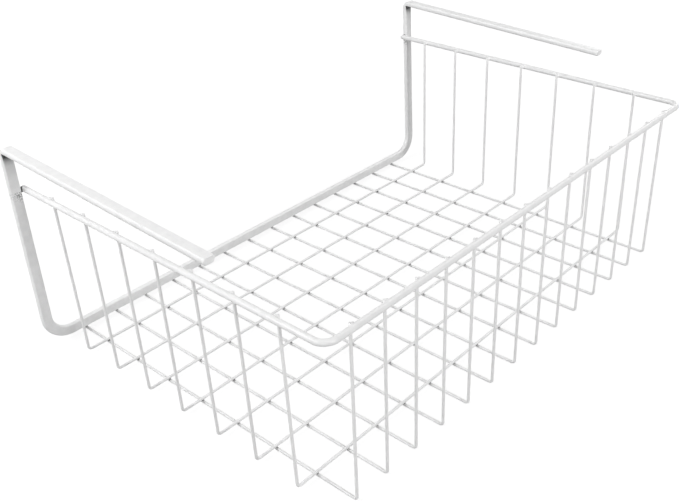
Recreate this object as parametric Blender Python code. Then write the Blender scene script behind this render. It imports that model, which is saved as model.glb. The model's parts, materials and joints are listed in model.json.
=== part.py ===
"""Under shelf basket in welded wire.

A flat bar is bent into a hanging frame: two arms that slide over a shelf, two
posts that drop from it and a bar along the basket's open front edge. Fourteen
L-shaped wires and seven U-shaped wires make the floor and the three walls, and a
thick round wire closes their tips along the rim.

Metres, +Z up. The open front faces -Y, the rear wall +Y. The origin is the middle
of the basket's bounding box at the height of its lowest point.
"""

import math

import bpy
from mathutils import Vector

# Driving dimensions of the wire grid
deep_wire_count = 14
deep_wire_pitch = 0.0254
cross_wire_count = 7
cross_wire_pitch = 0.0332
wire_diameter = 0.0019
wire_bend_radius = 0.00245
wire_front_setback = 0.0005
weld_gap = 0.0003

# Driving dimensions of the three walls, all measured from the wires' centres
first_cross_wire_setback = 0.0253
side_overhang = 0.0154
rear_overhang = 0.0300
wall_height = 0.1183
side_wall_lean = 0.0018
rear_wall_lean = 0.0020

# Driving dimensions of the rim
rim_diameter = 0.0040
rim_drop = 0.0010
rim_corner_radius = 0.0080

# Driving dimensions of the hanging frame
bar_width = 0.0076
bar_thickness = 0.0040
bar_side_radius = 0.0030
bar_edge_radius = 0.0003
post_foot_inner_radius = 0.0125
post_top_inner_radius = 0.0020
arm_underside_height = 0.1457
arm_length = 0.1925
arm_droop = 0.0067
arm_tip_radius = 0.0010

# Facets of the round shapes
wire_sides = 12
rim_sides = 20
wire_bend_steps = 6
rim_bend_steps = 12
foot_bend_steps = 10
top_bend_steps = 8
bar_side_steps = 3
bar_edge_steps = 2
arm_tip_steps = 4
smooth_below_angle = math.radians(40)

# White powder coat
coat_colour = (0.86, 0.86, 0.85, 1.0)
coat_roughness = 0.38
coat_metallic = 0.0

# Sizes worked out from the driving dimensions
wire_radius = wire_diameter / 2
rim_radius = rim_diameter / 2
wire_to_rim = wire_radius + weld_gap + rim_radius

# Heights of the layers: the deep wires lie lowest, the cross wires and the bar on them
deep_wire_z = wire_radius
cross_wire_z = deep_wire_z + wire_diameter + weld_gap
bar_z = deep_wire_z + wire_radius + weld_gap + bar_width / 2
wire_tip_z = deep_wire_z + wall_height
rim_z = wire_tip_z - rim_drop
rim_share_of_lean = (rim_z - deep_wire_z) / wall_height

# Places across the basket
outer_deep_wire_x = deep_wire_pitch * (deep_wire_count - 1) / 2
side_wall_x = outer_deep_wire_x + side_overhang
rim_x = side_wall_x + side_wall_lean * rim_share_of_lean + wire_to_rim
post_inner_x = rim_x + rim_radius + weld_gap
post_x = post_inner_x + bar_width / 2

# Places from front to back
grid_depth = cross_wire_pitch * (cross_wire_count - 1)
floor_depth = bar_thickness + first_cross_wire_setback + grid_depth + rear_overhang
rim_depth = floor_depth + rear_wall_lean * rim_share_of_lean + wire_to_rim
front_y = -(rim_depth + rim_radius) / 2
bar_y = front_y + bar_thickness / 2
first_cross_wire_y = front_y + bar_thickness + first_cross_wire_setback
rear_wall_y = front_y + floor_depth
rim_y = front_y + rim_depth
arm_tip_y = front_y + arm_length


def bent_path(corners, radii, steps):
    """Stations (place, direction, inset) along straight runs joined by round bends."""
    first = Vector(corners[0])
    last = Vector(corners[-1])
    stations = [(first, (Vector(corners[1]) - first).normalized(), 0.0)]
    for before, corner, after, radius, count in zip(corners, corners[1:], corners[2:], radii, steps):
        corner = Vector(corner)
        incoming = (corner - Vector(before)).normalized()
        outgoing = (Vector(after) - corner).normalized()
        turn = incoming.angle(outgoing)
        inward = (outgoing - incoming * incoming.dot(outgoing)).normalized()
        start = corner - incoming * radius * math.tan(turn / 2)
        centre = start + inward * radius
        for step in range(count + 1):
            angle = turn * step / count
            place = centre - inward * radius * math.cos(angle) + incoming * radius * math.sin(angle)
            direction = incoming * math.cos(angle) + inward * math.sin(angle)
            stations.append((place, direction, 0.0))
    stations.append((last, (last - Vector(corners[-2])).normalized(), 0.0))
    return stations


def rounded_ends(stations, radius, steps):
    """Narrow both ends of a path's stations by the corners' radius, in a quarter circle."""
    def tip(place, direction, inward):
        rows = []
        for step in range(steps + 1):
            angle = math.pi / 2 * step / steps
            distance = radius * (1 - math.cos(angle))
            inset = radius * (1 - math.sin(angle))
            rows.append((place + direction * inward * distance, direction, inset))
        return rows

    first_place, first_direction, _ = stations[0]
    last_place, last_direction, _ = stations[-1]
    front_rows = tip(first_place, first_direction, 1)
    back_rows = tip(last_place, last_direction, -1)
    return front_rows + stations[1:-1] + back_rows[::-1]


def round_section(radius, sides):
    """Outline of a round wire, as a function of a station's inset."""
    def outline(inset):
        angles = [2 * math.pi * side / sides for side in range(sides)]
        return [((radius - inset) * math.cos(a), (radius - inset) * math.sin(a)) for a in angles]
    return outline


def bar_section(width, thickness, side_radius, edge_radius, side_steps, edge_steps):
    """Outline of a flat bar with bulging narrow sides, as a function of a station's inset."""
    edge_start = math.asin((thickness / 2 - edge_radius) / (side_radius - edge_radius))
    edge_through = thickness / 2 - edge_radius

    def outline(inset):
        side_centre = width / 2 - inset - side_radius
        edge_centre = side_centre + (side_radius - edge_radius) * math.cos(edge_start)
        quarter = []
        for step in range(side_steps + 1):
            angle = edge_start * step / side_steps
            quarter.append((side_centre + side_radius * math.cos(angle), side_radius * math.sin(angle)))
        for step in range(1, edge_steps + 1):
            angle = edge_start + (math.pi / 2 - edge_start) * step / edge_steps
            quarter.append((edge_centre + edge_radius * math.cos(angle),
                            edge_through + edge_radius * math.sin(angle)))
        left = [(-a, b) for a, b in quarter[::-1]]
        below = [(-a, -b) for a, b in quarter[1:]]
        right = [(a, -b) for a, b in quarter[:0:-1]]
        return quarter + left + below + right
    return outline


def sweep(name, stations, outline, across):
    """Mesh of an outline carried along stations, without twist and closed at both ends."""
    across = Vector(across)
    vertices = []
    previous = stations[0][1]
    for place, direction, inset in stations:
        across = previous.rotation_difference(direction) @ across
        across = (across - direction * across.dot(direction)).normalized()
        through = direction.cross(across)
        previous = direction
        vertices += [place + across * a + through * b for a, b in outline(inset)]

    sides = len(outline(0.0))
    rings = len(stations)
    faces = [tuple(range(sides))[::-1]]
    for ring in range(rings - 1):
        for side in range(sides):
            here = ring * sides + side
            beside = ring * sides + (side + 1) % sides
            faces.append((here, beside, beside + sides, here + sides))
    faces.append(tuple(range((rings - 1) * sides, rings * sides)))

    mesh = bpy.data.meshes.new(name)
    mesh.from_pydata(vertices, [], faces)
    mesh.shade_smooth()
    mesh.set_sharp_from_angle(angle=smooth_below_angle)
    return mesh


def powder_coat(name):
    """White powder coat for one piece."""
    material = bpy.data.materials.new(name + "_powder_coat")
    material.use_nodes = True
    shader = material.node_tree.nodes["Principled BSDF"]
    shader.inputs["Base Color"].default_value = coat_colour
    shader.inputs["Roughness"].default_value = coat_roughness
    shader.inputs["Metallic"].default_value = coat_metallic
    material.diffuse_color = coat_colour
    return material


def add_piece(name, mesh, parent, location=(0.0, 0.0, 0.0)):
    """One named piece of the basket with its own material."""
    piece = bpy.data.objects.new(name, mesh)
    bpy.context.scene.collection.objects.link(piece)
    if not mesh.materials:
        mesh.materials.append(None)
    piece.location = location
    piece.parent = parent
    piece.material_slots[0].link = "OBJECT"
    piece.material_slots[0].material = powder_coat(name)
    return piece


def hanger_frame_mesh():
    """Flat bar from one arm's tip over the posts and under the opening to the other tip."""
    arm_z = arm_underside_height + bar_thickness / 2
    tip_z = arm_z - arm_droop
    corners = [
        (-post_x, arm_tip_y, tip_z),
        (-post_x, bar_y, arm_z),
        (-post_x, bar_y, bar_z),
        (post_x, bar_y, bar_z),
        (post_x, bar_y, arm_z),
        (post_x, arm_tip_y, tip_z),
    ]
    top_radius = post_top_inner_radius + bar_thickness / 2
    foot_radius = post_foot_inner_radius + bar_width / 2
    radii = [top_radius, foot_radius, foot_radius, top_radius]
    steps = [top_bend_steps, foot_bend_steps, foot_bend_steps, top_bend_steps]
    stations = rounded_ends(bent_path(corners, radii, steps), arm_tip_radius, arm_tip_steps)
    outline = bar_section(bar_width, bar_thickness, bar_side_radius, bar_edge_radius,
                          bar_side_steps, bar_edge_steps)
    return sweep("hanger_frame", stations, outline, across=(1, 0, 0))


def rim_wire_mesh():
    """Thick wire round three sides, ending at the inner sides of the posts."""
    corners = [
        (-rim_x, front_y + wire_front_setback, rim_z),
        (-rim_x, rim_y, rim_z),
        (rim_x, rim_y, rim_z),
        (rim_x, front_y + wire_front_setback, rim_z),
    ]
    stations = bent_path(corners, [rim_corner_radius] * 2, [rim_bend_steps] * 2)
    return sweep("rim_wire", stations, round_section(rim_radius, rim_sides), across=(0, 0, 1))


def cross_wire_mesh():
    """U-shaped wire: left wall, floor and right wall, in the plane y = 0."""
    tip_x = side_wall_x + side_wall_lean
    lean_at_floor = side_wall_lean * (cross_wire_z - deep_wire_z) / wall_height
    foot_x = side_wall_x + lean_at_floor
    corners = [
        (-tip_x, 0.0, wire_tip_z),
        (-foot_x, 0.0, cross_wire_z),
        (foot_x, 0.0, cross_wire_z),
        (tip_x, 0.0, wire_tip_z),
    ]
    stations = bent_path(corners, [wire_bend_radius] * 2, [wire_bend_steps] * 2)
    return sweep("cross_wire", stations, round_section(wire_radius, wire_sides), across=(0, 1, 0))


def deep_wire_mesh():
    """L-shaped wire: floor from under the bar to the rear wall, in the plane x = 0."""
    corners = [
        (0.0, front_y + wire_front_setback, deep_wire_z),
        (0.0, rear_wall_y, deep_wire_z),
        (0.0, rear_wall_y + rear_wall_lean, wire_tip_z),
    ]
    stations = bent_path(corners, [wire_bend_radius], [wire_bend_steps])
    return sweep("deep_wire", stations, round_section(wire_radius, wire_sides), across=(1, 0, 0))


def build():
    """Model every piece of the basket under one empty."""
    for leftover in list(bpy.data.objects):
        bpy.data.objects.remove(leftover, do_unlink=True)

    basket = bpy.data.objects.new("under_shelf_basket", None)
    bpy.context.scene.collection.objects.link(basket)

    add_piece("hanger_frame", hanger_frame_mesh(), basket)
    add_piece("rim_wire", rim_wire_mesh(), basket)

    shared_cross_wire = cross_wire_mesh()
    for number in range(cross_wire_count):
        y = first_cross_wire_y + cross_wire_pitch * number
        add_piece(f"cross_wire_{number + 1}", shared_cross_wire, basket, (0.0, y, 0.0))

    shared_deep_wire = deep_wire_mesh()
    for number in range(deep_wire_count):
        x = deep_wire_pitch * number - outer_deep_wire_x
        add_piece(f"deep_wire_{number + 1}", shared_deep_wire, basket, (x, 0.0, 0.0))


build()
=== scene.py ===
"""Looks of the under shelf basket: coated wires, their welds, a pale floor, light and camera."""

import json
import math

import bpy
from mathutils import Matrix, Vector

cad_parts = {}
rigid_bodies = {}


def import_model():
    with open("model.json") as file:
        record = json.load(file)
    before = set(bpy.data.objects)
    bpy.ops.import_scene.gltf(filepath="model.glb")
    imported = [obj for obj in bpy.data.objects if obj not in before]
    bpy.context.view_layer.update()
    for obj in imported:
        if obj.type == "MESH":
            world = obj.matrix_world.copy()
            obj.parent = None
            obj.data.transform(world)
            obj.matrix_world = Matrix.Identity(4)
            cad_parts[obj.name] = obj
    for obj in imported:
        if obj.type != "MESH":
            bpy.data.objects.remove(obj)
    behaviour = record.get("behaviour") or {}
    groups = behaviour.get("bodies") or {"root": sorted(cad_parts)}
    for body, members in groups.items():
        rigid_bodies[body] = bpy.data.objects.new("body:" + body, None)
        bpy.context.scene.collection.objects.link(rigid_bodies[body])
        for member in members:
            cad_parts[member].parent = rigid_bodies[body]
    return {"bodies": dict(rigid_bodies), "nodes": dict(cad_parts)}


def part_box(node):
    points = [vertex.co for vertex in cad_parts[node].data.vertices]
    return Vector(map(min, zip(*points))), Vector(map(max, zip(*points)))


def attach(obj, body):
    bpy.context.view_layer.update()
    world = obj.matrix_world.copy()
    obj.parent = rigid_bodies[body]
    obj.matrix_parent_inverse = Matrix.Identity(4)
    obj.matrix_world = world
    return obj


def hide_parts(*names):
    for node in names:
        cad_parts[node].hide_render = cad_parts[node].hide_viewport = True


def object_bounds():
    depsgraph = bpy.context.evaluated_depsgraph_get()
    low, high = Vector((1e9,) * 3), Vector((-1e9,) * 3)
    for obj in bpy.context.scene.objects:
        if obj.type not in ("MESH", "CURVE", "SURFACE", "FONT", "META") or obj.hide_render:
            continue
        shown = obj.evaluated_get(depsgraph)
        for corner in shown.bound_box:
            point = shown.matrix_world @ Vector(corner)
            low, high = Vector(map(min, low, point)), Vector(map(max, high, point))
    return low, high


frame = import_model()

cad_low, cad_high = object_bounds()
body = next(iter(frame["bodies"]))

# Sizes of the wires, the rim and the bar, in metres
wire_radius = 0.00095
rim_radius = 0.0020
bar_width = 0.0076
bar_thickness = 0.0040
bar_side_radius = 0.0030
bar_edge_radius = 0.0003
weld_gap = 0.0003
wire_bend_radius = 0.00245
rim_corner_radius = 0.0080
post_foot_radius = 0.0163
post_top_radius = 0.0040

# Shape of the walls and the arms
wall_height = 0.1183
side_wall_lean = 0.0018
rear_wall_lean = 0.0020
rim_drop = 0.0010
arm_underside_height = 0.1457
arm_droop = 0.0067
arm_length = 0.1925
arm_tip_radius = 0.0010
wire_front_setback = 0.0005

# Rounded ends of the cut wires
wire_tip_radius = 0.00045
rim_tip_radius = 0.0007

# Weld nuggets, as radii of the patch where two pieces meet, and how narrow their waist is
wire_weld_radius = 0.00085
post_weld_radii = (0.0016, 0.0019)
weld_waist_share = 0.95

# Coated beads between the rim and the wall wires, as radii along, across and up
bead_along = 0.0022
bead_across = 0.0014
bead_up = 0.0015

# Painted shade in the arms' inner corners and dark specks round the rim's welds, part spatter and part
# painted shade: distances at which it is full and at which it ends, and how it fades
corner_painted_shade_reach = (0.0025, 0.0092)
corner_painted_shade_power = 2.0
weld_spatter_and_shade_reach = (0.0030, 0.0090)
speck_threshold = 0.52
speck_darkness = 0.7
shade_and_spatter_grey = 0.02

# Textures of the coats, in features per metre, with their octaves
cloud_scale = 260.0
cloud_detail = 3.0
grain_scale = 3200.0
fine_detail = 2.0
speck_scale = 900.0
speck_detail = 1.0
noise_middle = (0.3, 0.7)
coat_roughness = (0.30, 0.44)

# Facets
wire_sides = 20
rim_sides = 40
wire_bend_steps = 10
rim_bend_steps = 28
foot_bend_steps = 20
top_bend_steps = 14
bar_side_steps = 7
bar_edge_steps = 4
tip_steps = 4
smooth_below_angle = math.radians(50)
weld_sides = 16
weld_rows = 5
bead_rows = 8

# Photograph's camera
photo_width = 679
photo_height = 501
focal_pixels = 927.4
centre_pixel = (390.33, 220.40)
camera_azimuth = math.radians(131.188)
camera_elevation = math.radians(29.202)
camera_roll = math.radians(-1.5875)
camera_place = Vector((0.42581, 0.38327, 0.37836))
sensor_width = 36.0
view_range = (0.01, 50.0)

# Soft boxes: name, place, width and power in watts, with left as seen from the open front
soft_boxes = (
    ("key_soft_box", (0.95, -0.50, 0.85), 0.6, 9.4),
    ("front_soft_box", (0.50, -2.80, 1.20), 1.2, 15.0),
    ("rear_soft_box", (0.30, 3.00, 0.90), 1.2, 54.0),
    ("right_soft_box", (3.00, 0.00, 0.80), 1.2, 13.5),
    ("high_left_soft_box", (-2.00, 0.30, 2.10), 1.2, 15.0),
    ("low_left_soft_box", (-2.80, -0.60, 0.80), 1.2, 16.0),
)
world_light = 0.18

# Floor, and the white added to it for the camera near the basket and away from it
floor_half_width = 6.0
floor_grey = 0.20
floor_roughness = 0.9
floor_lift = (0.86, 1.0)
floor_lift_reach = (0.25, 1.20)

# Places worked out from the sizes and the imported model
deep_wire_z = wire_radius
cross_wire_z = deep_wire_z + 2 * wire_radius + weld_gap
wire_tip_z = deep_wire_z + wall_height
rim_z = wire_tip_z - rim_drop
rim_share_of_lean = (rim_z - deep_wire_z) / wall_height
bar_z = deep_wire_z + wire_radius + weld_gap + bar_width / 2
front_y = cad_low.y
bar_y = front_y + bar_thickness / 2
post_x = cad_high.x - bar_width / 2
rim_x = post_x - bar_width / 2 - weld_gap - rim_radius
rim_y = cad_high.y - rim_radius
wire_to_rim = wire_radius + weld_gap + rim_radius
side_wall_x = rim_x - wire_to_rim - side_wall_lean * rim_share_of_lean
rear_wall_y = rim_y - wire_to_rim - rear_wall_lean * rim_share_of_lean
arm_z = arm_underside_height + bar_thickness / 2


def middle(node, axis):
    """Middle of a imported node's box along one axis."""
    low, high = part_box(node)
    return (low[axis] + high[axis]) / 2


cross_wires = sorted(name for name in frame["nodes"] if name.startswith("cross_wire"))
deep_wires = sorted(name for name in frame["nodes"] if name.startswith("deep_wire"))
cross_wire_ys = {name: middle(name, 1) for name in cross_wires}
deep_wire_xs = {name: middle(name, 0) for name in deep_wires}


def bent_path(corners, radii, steps):
    """Stations (place, direction, inset) along straight runs joined by round bends."""
    first = Vector(corners[0])
    last = Vector(corners[-1])
    stations = [(first, (Vector(corners[1]) - first).normalized(), 0.0)]
    for before, corner, after, radius, count in zip(corners, corners[1:], corners[2:], radii, steps):
        corner = Vector(corner)
        incoming = (corner - Vector(before)).normalized()
        outgoing = (Vector(after) - corner).normalized()
        turn = incoming.angle(outgoing)
        inward = (outgoing - incoming * incoming.dot(outgoing)).normalized()
        centre = corner - incoming * radius * math.tan(turn / 2) + inward * radius
        for step in range(count + 1):
            angle = turn * step / count
            place = centre - inward * radius * math.cos(angle) + incoming * radius * math.sin(angle)
            direction = incoming * math.cos(angle) + inward * math.sin(angle)
            stations.append((place, direction, 0.0))
    stations.append((last, (last - Vector(corners[-2])).normalized(), 0.0))
    return stations


def rounded_ends(stations, radius):
    """Narrow both ends of a path in a quarter circle of the given radius."""
    def tip(place, direction, inward):
        rows = []
        for step in range(tip_steps + 1):
            angle = math.pi / 2 * step / tip_steps
            distance = radius * (1 - math.cos(angle))
            inset = radius * (1 - math.sin(angle))
            rows.append((place + direction * inward * distance, direction, inset))
        return rows

    first_place, first_direction, _ = stations[0]
    last_place, last_direction, _ = stations[-1]
    front_rows = tip(first_place, first_direction, 1)
    back_rows = tip(last_place, last_direction, -1)
    return front_rows + stations[1:-1] + back_rows[::-1]


def round_section(radius, sides):
    """Outline of a round wire, as a function of a station's inset."""
    def outline(inset):
        angles = [2 * math.pi * side / sides for side in range(sides)]
        return [((radius - inset) * math.cos(a), (radius - inset) * math.sin(a)) for a in angles]
    return outline


def bar_section(inset):
    """Outline of the flat bar with bulging narrow sides, as a function of a station's inset."""
    edge_start = math.asin((bar_thickness / 2 - bar_edge_radius) / (bar_side_radius - bar_edge_radius))
    edge_through = bar_thickness / 2 - bar_edge_radius
    side_centre = bar_width / 2 - inset - bar_side_radius
    edge_centre = side_centre + (bar_side_radius - bar_edge_radius) * math.cos(edge_start)
    quarter = []
    for step in range(bar_side_steps + 1):
        angle = edge_start * step / bar_side_steps
        quarter.append((side_centre + bar_side_radius * math.cos(angle),
                        bar_side_radius * math.sin(angle)))
    for step in range(1, bar_edge_steps + 1):
        angle = edge_start + (math.pi / 2 - edge_start) * step / bar_edge_steps
        quarter.append((edge_centre + bar_edge_radius * math.cos(angle),
                        edge_through + bar_edge_radius * math.sin(angle)))
    left = [(-a, b) for a, b in quarter[::-1]]
    below = [(-a, -b) for a, b in quarter[1:]]
    right = [(a, -b) for a, b in quarter[:0:-1]]
    return quarter + left + below + right


def open_tube(base, rows, sides):
    """Faces between rows of points that run round a piece, from the point numbered base."""
    faces = []
    for row in range(rows - 1):
        for side in range(sides):
            here = base + row * sides + side
            beside = base + row * sides + (side + 1) % sides
            faces.append((here, beside, beside + sides, here + sides))
    return faces


def closed_tube(base, rows, sides):
    """Faces of an open tube and the flat ones that close its ends."""
    last_row = base + (rows - 1) * sides
    start = tuple(range(base, base + sides))[::-1]
    end = tuple(range(last_row, last_row + sides))
    return [start, *open_tube(base, rows, sides), end]


def sweep(name, stations, outline, across):
    """Mesh of an outline carried along stations, without twist and closed at both ends."""
    across = Vector(across)
    vertices = []
    previous = stations[0][1]
    for place, direction, inset in stations:
        across = previous.rotation_difference(direction) @ across
        across = (across - direction * across.dot(direction)).normalized()
        through = direction.cross(across)
        previous = direction
        vertices += [place + across * a + through * b for a, b in outline(inset)]

    return make_mesh(name, vertices, closed_tube(0, len(stations), len(outline(0.0))))


def make_mesh(name, vertices, faces):
    """Smooth-shaded mesh from its points and faces."""
    mesh = bpy.data.meshes.new(name)
    mesh.from_pydata(vertices, [], faces)
    mesh.shade_smooth()
    mesh.set_sharp_from_angle(angle=smooth_below_angle)
    return mesh


def add_object(name, data):
    """Object with the given mesh, light or camera, linked to the scene."""
    thing = bpy.data.objects.new(name, data)
    bpy.context.scene.collection.objects.link(thing)
    return thing


def grey(value):
    """Neutral colour of one value."""
    return (value, value, value, 1.0)


def feed(tree, socket, value):
    """Give a node's input a value or another node's output."""
    if isinstance(value, bpy.types.NodeSocket):
        tree.links.new(value, socket)
    else:
        socket.default_value = value


def new_material(name):
    """Node material, its tree and the inputs of its Principled shader."""
    material = bpy.data.materials.new(name)
    material.use_nodes = True
    tree = material.node_tree
    return material, tree, tree.nodes["Principled BSDF"].inputs


def object_place(tree):
    """Place on the surface, in the object's own metres."""
    return tree.nodes.new("ShaderNodeTexCoord").outputs["Object"]


def noise(tree, place, scale, detail):
    """Noise with the given number of features per metre."""
    node = tree.nodes.new("ShaderNodeTexNoise")
    feed(tree, node.inputs["Scale"], scale)
    feed(tree, node.inputs["Detail"], detail)
    feed(tree, node.inputs["Vector"], place)
    return node.outputs["Fac"]


def calculated(tree, operation, first, second=0.0):
    """Result of a math node on two numbers or outputs."""
    node = tree.nodes.new("ShaderNodeMath")
    node.operation = operation
    feed(tree, node.inputs[0], first)
    feed(tree, node.inputs[1], second)
    return node.outputs["Value"]


def mapped(tree, source, before, after):
    """Source with the range before stretched to the range after."""
    node = tree.nodes.new("ShaderNodeMapRange")
    for socket, value in zip(("From Min", "From Max", "To Min", "To Max"), (*before, *after)):
        feed(tree, node.inputs[socket], value)
    feed(tree, node.inputs["Value"], source)
    return node.outputs["Result"]


def mixed(tree, share, first, second):
    """Colour between two colours or outputs."""
    node = tree.nodes.new("ShaderNodeMix")
    node.data_type = "RGBA"
    feed(tree, node.inputs["Factor"], share)
    feed(tree, node.inputs["A"], first)
    feed(tree, node.inputs["B"], second)
    return node.outputs["Result"]


def distance_between(tree, first, second):
    """Distance from one place to another."""
    node = tree.nodes.new("ShaderNodeVectorMath")
    node.operation = "DISTANCE"
    feed(tree, node.inputs[0], first)
    feed(tree, node.inputs[1], second)
    return node.outputs["Value"]


def powder_coat(name, light, shade, peel_scale, peel_height):
    """Powder coat: faint clouds between two greys, orange peel and a roughness that varies."""
    material, tree, shader = new_material(name)
    place = object_place(tree)

    clouds = noise(tree, place, cloud_scale, cloud_detail)
    clouds = mapped(tree, clouds, noise_middle, (0.0, 1.0))
    feed(tree, shader["Base Color"], mixed(tree, clouds, grey(light), grey(shade)))

    grain = noise(tree, place, grain_scale, fine_detail)
    feed(tree, shader["Roughness"], mapped(tree, grain, noise_middle, coat_roughness))

    bump = tree.nodes.new("ShaderNodeBump")
    feed(tree, bump.inputs["Strength"], 1.0)
    feed(tree, bump.inputs["Distance"], peel_height)
    feed(tree, bump.inputs["Height"], noise(tree, place, peel_scale, fine_detail))
    feed(tree, shader["Normal"], bump.outputs["Normal"])
    return material


def nearness(tree, coordinates, place, reach):
    """One within the first distance of a place, falling to zero at the second distance."""
    spot = tree.nodes.new("ShaderNodeCombineXYZ")
    for socket, coordinate in zip(spot.inputs, coordinates):
        feed(tree, socket, coordinate)
    return mapped(tree, distance_between(tree, spot.outputs["Vector"], place), reach, (1.0, 0.0))


def add_painted_shade_and_spatter(material):
    """Painted shade in the inner corners of the arms, and dark specks round the rim's welds, part weld
    spatter and part painted shade below the rim.
    """
    tree = material.node_tree
    base_colour = tree.nodes["Principled BSDF"].inputs["Base Color"]
    clean = base_colour.links[0].from_socket
    place = object_place(tree)
    separate = tree.nodes.new("ShaderNodeSeparateXYZ")
    feed(tree, separate.inputs["Vector"], place)
    x, y, z = separate.outputs

    # Painted shade in the inner corner under each arm: darkest at the crease, fading down the post's
    # rear face and along the arm's underside
    inner_y = front_y + bar_thickness
    corner = nearness(tree, (0.0, y, z), (0.0, inner_y, arm_underside_height), corner_painted_shade_reach)
    corner = calculated(tree, "POWER", corner, corner_painted_shade_power)
    behind = calculated(tree, "GREATER_THAN", y, inner_y - bar_edge_radius)
    below = calculated(tree, "LESS_THAN", z, arm_underside_height + bar_edge_radius)
    corner = calculated(tree, "MULTIPLY", corner, calculated(tree, "MULTIPLY", behind, below))

    # Dark specks round each rim-to-post weld, part weld spatter and part painted shade, kept below the
    # rim where its shade falls
    side_x = calculated(tree, "ABSOLUTE", x)
    weld = nearness(tree, (side_x, y, z), (post_x - bar_width / 2, bar_y, rim_z), weld_spatter_and_shade_reach)
    specks = noise(tree, place, speck_scale, speck_detail)
    specks = calculated(tree, "GREATER_THAN", specks, speck_threshold)
    specks = calculated(tree, "MULTIPLY", specks, calculated(tree, "LESS_THAN", z, rim_z))
    specks = calculated(tree, "MULTIPLY", specks, speck_darkness)
    weld = calculated(tree, "MULTIPLY", weld, specks)

    # Painted shade and spatter together: the darker of the two, mixed towards near black
    scale = calculated(tree, "MAXIMUM", corner, weld)
    feed(tree, base_colour, mixed(tree, scale, clean, grey(shade_and_spatter_grey)))


bar_coat = powder_coat("bar_coat", light=0.915, shade=0.855, peel_scale=700.0, peel_height=0.000020)
rim_coat = powder_coat("rim_coat", light=0.90, shade=0.85, peel_scale=800.0, peel_height=0.000015)
# The wires' coat is a little darker than the rim's and the bar's, as painted shade on the thin wires
wire_coat = powder_coat("wire_coat", light=0.88, shade=0.83, peel_scale=1100.0, peel_height=0.000010)
# Near-black coats of the welds: painted contact shade in the gaps between crossing and touching pieces;
# the floor welds' coat varies at random from mid grey to near black
weld_painted_shade_coat = powder_coat("weld_painted_shade_coat", light=0.05, shade=0.02, peel_scale=1500.0, peel_height=0.000030)
grid_weld_painted_shade_coat = powder_coat("grid_weld_painted_shade_coat", light=0.50, shade=0.02, peel_scale=1500.0,
                             peel_height=0.000030)
add_painted_shade_and_spatter(bar_coat)


def add_piece(name, mesh, material, replaced=(), location=(0.0, 0.0, 0.0)):
    """One visible piece on the basket's body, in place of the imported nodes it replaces."""
    piece = add_object(name, mesh)
    if not mesh.materials:
        mesh.materials.append(material)
    piece.location = location
    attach(piece, body)
    if replaced:
        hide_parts(*replaced)


def add_hanger_frame():
    """Flat bar: arm, post, front bar, post and arm in one."""
    tip_y = front_y + arm_length
    tip_z = arm_z - arm_droop
    corners = [
        (-post_x, tip_y, tip_z),
        (-post_x, bar_y, arm_z),
        (-post_x, bar_y, bar_z),
        (post_x, bar_y, bar_z),
        (post_x, bar_y, arm_z),
        (post_x, tip_y, tip_z),
    ]
    radii = [post_top_radius, post_foot_radius, post_foot_radius, post_top_radius]
    steps = [top_bend_steps, foot_bend_steps, foot_bend_steps, top_bend_steps]
    stations = rounded_ends(bent_path(corners, radii, steps), arm_tip_radius)
    mesh = sweep("coated_frame", stations, bar_section, across=(1, 0, 0))
    add_piece("coated_frame", mesh, bar_coat, ["hanger_frame"])


def add_rim():
    """Thick wire round the side and rear walls."""
    end_y = front_y + wire_front_setback
    corners = [
        (-rim_x, end_y, rim_z),
        (-rim_x, rim_y, rim_z),
        (rim_x, rim_y, rim_z),
        (rim_x, end_y, rim_z),
    ]
    stations = bent_path(corners, [rim_corner_radius] * 2, [rim_bend_steps] * 2)
    stations = rounded_ends(stations, rim_tip_radius)
    mesh = sweep("coated_rim", stations, round_section(rim_radius, rim_sides), across=(0, 0, 1))
    add_piece("coated_rim", mesh, rim_coat, ["rim_wire"])


def add_cross_wires():
    """U-shaped wires: side wall, floor, side wall."""
    tip_x = side_wall_x + side_wall_lean
    foot_x = side_wall_x + side_wall_lean * (cross_wire_z - deep_wire_z) / wall_height
    corners = [
        (-tip_x, 0.0, wire_tip_z),
        (-foot_x, 0.0, cross_wire_z),
        (foot_x, 0.0, cross_wire_z),
        (tip_x, 0.0, wire_tip_z),
    ]
    stations = bent_path(corners, [wire_bend_radius] * 2, [wire_bend_steps] * 2)
    stations = rounded_ends(stations, wire_tip_radius)
    mesh = sweep("coated_cross_wire", stations, round_section(wire_radius, wire_sides), across=(0, 1, 0))
    for name, y in cross_wire_ys.items():
        add_piece("coated_" + name, mesh, wire_coat, [name], (0.0, y, 0.0))


def add_deep_wires():
    """L-shaped wires: floor from under the bar, then the rear wall."""
    corners = [
        (0.0, front_y + wire_front_setback, deep_wire_z),
        (0.0, rear_wall_y, deep_wire_z),
        (0.0, rear_wall_y + rear_wall_lean, wire_tip_z),
    ]
    stations = bent_path(corners, [wire_bend_radius], [wire_bend_steps])
    stations = rounded_ends(stations, wire_tip_radius)
    mesh = sweep("coated_deep_wire", stations, round_section(wire_radius, wire_sides), across=(1, 0, 0))
    for name, x in deep_wire_xs.items():
        add_piece("coated_" + name, mesh, wire_coat, [name], (x, 0.0, 0.0))


def sagitta(radius, distance):
    """How far a round surface falls away at a distance from its crest."""
    if radius is None:
        return 0.0
    return radius - math.sqrt(radius * radius - distance * distance)


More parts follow.
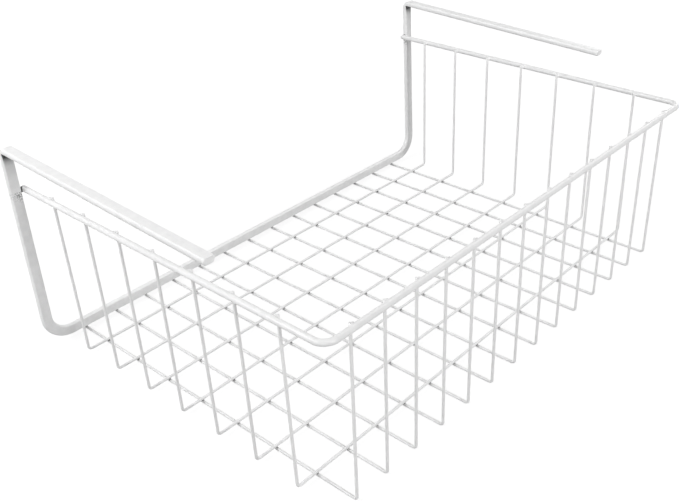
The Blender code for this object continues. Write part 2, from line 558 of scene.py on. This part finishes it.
def add_welds(name, places, normal, near_axis, near_radius, far_radius, patch, material):
    """Nuggets that bridge the gap between a wire and what it is welded to.

    normal points from the near piece to the far one. near_axis runs along the near
    piece, and the far piece runs along the third direction. A radius of None is flat.
    patch holds the nugget's half width along near_axis and across it.
    """
    normal = Vector(normal)
    near_axis = Vector(near_axis)
    far_axis = normal.cross(near_axis)
    vertices = []
    faces = []
    for place in places:
        base = len(vertices)
        for row in range(weld_rows):
            share = row / (weld_rows - 1)
            waist = 1 - (1 - weld_waist_share) * math.sin(math.pi * share)
            for side in range(weld_sides):
                angle = 2 * math.pi * side / weld_sides
                along = patch[0] * waist * math.cos(angle)
                aside = patch[1] * waist * math.sin(angle)
                near = -weld_gap / 2 - sagitta(near_radius, aside)
                far = weld_gap / 2 + sagitta(far_radius, along)
                height = near + (far - near) * share
                vertices.append(Vector(place) + near_axis * along + far_axis * aside + normal * height)
        faces += closed_tube(base, weld_rows, weld_sides)
    add_piece(name, make_mesh(name, vertices, faces), material)


def add_beads(name, places, radii):
    """Rounded beads with the given radii along X, Y and Z."""
    vertices = []
    faces = []
    for place in places:
        base = len(vertices)
        for row in range(1, bead_rows):
            tilt = math.pi * row / bead_rows
            for side in range(weld_sides):
                angle = 2 * math.pi * side / weld_sides
                point = Vector((math.sin(tilt) * math.cos(angle),
                                math.sin(tilt) * math.sin(angle),
                                -math.cos(tilt)))
                vertices.append(Vector(place) + Vector(radii) * point)
        faces += open_tube(base, bead_rows - 1, weld_sides)
        bottom = len(vertices)
        vertices.append(Vector(place) - Vector((0.0, 0.0, radii[2])))
        vertices.append(Vector(place) + Vector((0.0, 0.0, radii[2])))
        last_row = bottom - weld_sides
        for side in range(weld_sides):
            after = (side + 1) % weld_sides
            faces.append((base + after, base + side, bottom))
            faces.append((last_row + side, last_row + after, bottom + 1))
    add_piece(name, make_mesh(name, vertices, faces), rim_coat)


def add_all_welds():
    """Welds of the floor grid, the rim, the bar and the posts."""
    wire_patch = (wire_weld_radius, wire_weld_radius)
    grid_z = (deep_wire_z + cross_wire_z) / 2
    bar_contact_z = deep_wire_z + wire_radius + weld_gap / 2
    rim_contact_x = rim_x - rim_radius - weld_gap / 2
    rim_contact_y = rim_y - rim_radius - weld_gap / 2
    post_contact_x = rim_x + rim_radius + weld_gap / 2

    # The floor's, the bar's and the posts' welds wear the near-black coats of painted contact shade
    grid = [(x, y, grid_z) for x in deep_wire_xs.values() for y in cross_wire_ys.values()]
    add_welds("floor_welds", grid, (0, 0, 1), (0, 1, 0), wire_radius, wire_radius, wire_patch,
              grid_weld_painted_shade_coat)
    bar = [(x, bar_y, bar_contact_z) for x in deep_wire_xs.values()]
    add_welds("bar_welds", bar, (0, 0, 1), (0, 1, 0), wire_radius, None, wire_patch, weld_painted_shade_coat)
    rear = [(x, rim_contact_y, rim_z) for x in deep_wire_xs.values()]
    add_beads("rear_rim_welds", rear, (bead_along, bead_across, bead_up))
    for side_name, side in (("left", -1), ("right", 1)):
        wall = [(side * rim_contact_x, y, rim_z) for y in cross_wire_ys.values()]
        add_beads(side_name + "_rim_welds", wall, (bead_across, bead_along, bead_up))
        post = [(side * post_contact_x, bar_y, rim_z)]
        add_welds(side_name + "_post_weld", post, (side, 0, 0), (0, 1, 0), rim_radius, None,
                  post_weld_radii, weld_painted_shade_coat)


def seen_directly(tree):
    """One for rays from the camera, mirrors and glass, zero for rays that light the object."""
    rays = tree.nodes.new("ShaderNodeLightPath").outputs
    seen = calculated(tree, "MAXIMUM", rays["Is Camera Ray"], rays["Is Glossy Ray"])
    return calculated(tree, "MAXIMUM", seen, rays["Is Transmission Ray"])


def add_floor():
    """Pale floor that is white to the camera but for the basket's soft shadow."""
    half = floor_half_width
    corners = [(-half, -half, 0.0), (half, -half, 0.0), (half, half, 0.0), (-half, half, 0.0)]
    floor = add_object("floor", make_mesh("floor", corners, [(0, 1, 2, 3)]))
    material, tree, shader = new_material("floor_paint")
    feed(tree, shader["Base Color"], grey(floor_grey))
    feed(tree, shader["Roughness"], floor_roughness)
    feed(tree, shader["Specular IOR Level"], 0.0)
    feed(tree, shader["Emission Color"], grey(1.0))

    distance = distance_between(tree, object_place(tree), (0.0, 0.0, 0.0))
    lift = mapped(tree, distance, floor_lift_reach, floor_lift)
    feed(tree, shader["Emission Strength"], calculated(tree, "MULTIPLY", lift, seen_directly(tree)))
    floor.data.materials.append(material)


def add_world():
    """White surroundings to the camera, gentle even light on the basket."""
    world = bpy.data.worlds.new("studio")
    bpy.context.scene.world = world
    world.use_nodes = True
    tree = world.node_tree
    background = tree.nodes["Background"].inputs
    feed(tree, background["Color"], grey(1.0))
    feed(tree, background["Strength"], mapped(tree, seen_directly(tree), (0.0, 1.0), (world_light, 1.0)))


def add_light(name, place, size, watts):
    """Square soft box aimed at the basket's middle."""
    data = bpy.data.lights.new(name, "AREA")
    data.shape = "SQUARE"
    data.size = size
    data.energy = watts
    light = add_object(name, data)
    light.location = place
    aim = Vector((0.0, 0.0, cad_high.z / 2)) - Vector(place)
    light.rotation_euler = aim.to_track_quat("-Z", "Y").to_euler()


def add_camera():
    """Camera that frames the basket as the photograph does."""
    data = bpy.data.cameras.new("camera")
    camera = add_object("camera", data)
    back = Vector((math.sin(camera_azimuth) * math.cos(camera_elevation),
                   -math.cos(camera_azimuth) * math.cos(camera_elevation),
                   math.sin(camera_elevation)))
    level = Vector((0.0, 0.0, 1.0)).cross(back).normalized()
    upright = back.cross(level)
    right = level * math.cos(camera_roll) + upright * math.sin(camera_roll)
    up = back.cross(right)
    data.sensor_width = sensor_width
    data.lens = data.sensor_width * focal_pixels / photo_width
    data.shift_x = 0.5 - centre_pixel[0] / photo_width
    data.shift_y = (centre_pixel[1] - photo_height / 2) / photo_width
    data.clip_start, data.clip_end = view_range
    camera.matrix_world = Matrix((
        (right.x, up.x, back.x, camera_place.x),
        (right.y, up.y, back.y, camera_place.y),
        (right.z, up.z, back.z, camera_place.z),
        (0.0, 0.0, 0.0, 1.0),
    ))
    bpy.context.scene.camera = camera


add_camera()
add_hanger_frame()
add_rim()
add_cross_wires()
add_deep_wires()
add_all_welds()
add_floor()
add_world()
for soft_box in soft_boxes:
    add_light(*soft_box)
bpy.context.scene.view_settings.view_transform = "Standard"
